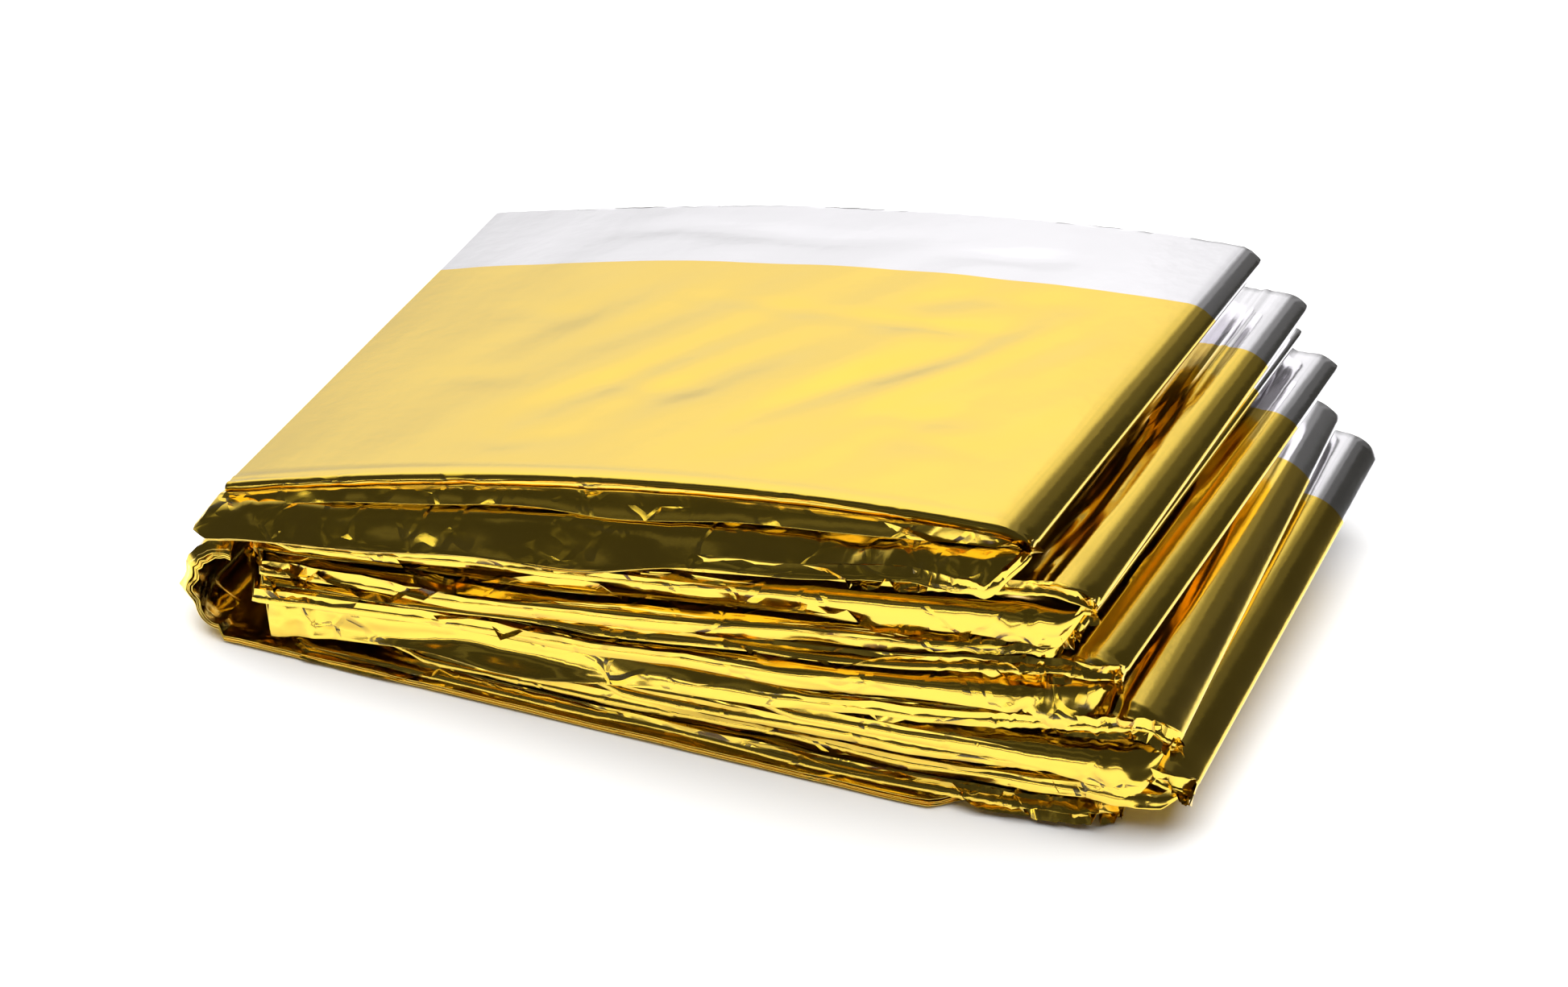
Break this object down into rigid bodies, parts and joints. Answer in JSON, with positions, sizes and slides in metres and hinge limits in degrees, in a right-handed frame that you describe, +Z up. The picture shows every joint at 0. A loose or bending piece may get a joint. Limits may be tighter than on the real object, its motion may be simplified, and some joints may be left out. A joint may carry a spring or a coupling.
{
  "type": "emergency foil blanket",
  "caption": "Metallised film rescue blanket, gold on one side and silver on the other, folded into a strip and then back and forth into a fanned packet.",
  "frame": {"origin": "middle of the packet's plan outline, on the surface that it lies on", "axes": "+X from the tight left folds to the fanned right folds, +Y across the folded strip to its silver back edge, +Z up"},
  "size_m": [0.1664, 0.0933, 0.0507],
  "materials": {
    "gold_film": "vacuum-metallised polyester film, gold lacquered on one side and plain silver on the other"
  },
  "bodies": {
    "root": {"foil_blanket": "gold_film"}
  },
  "joints": []
}
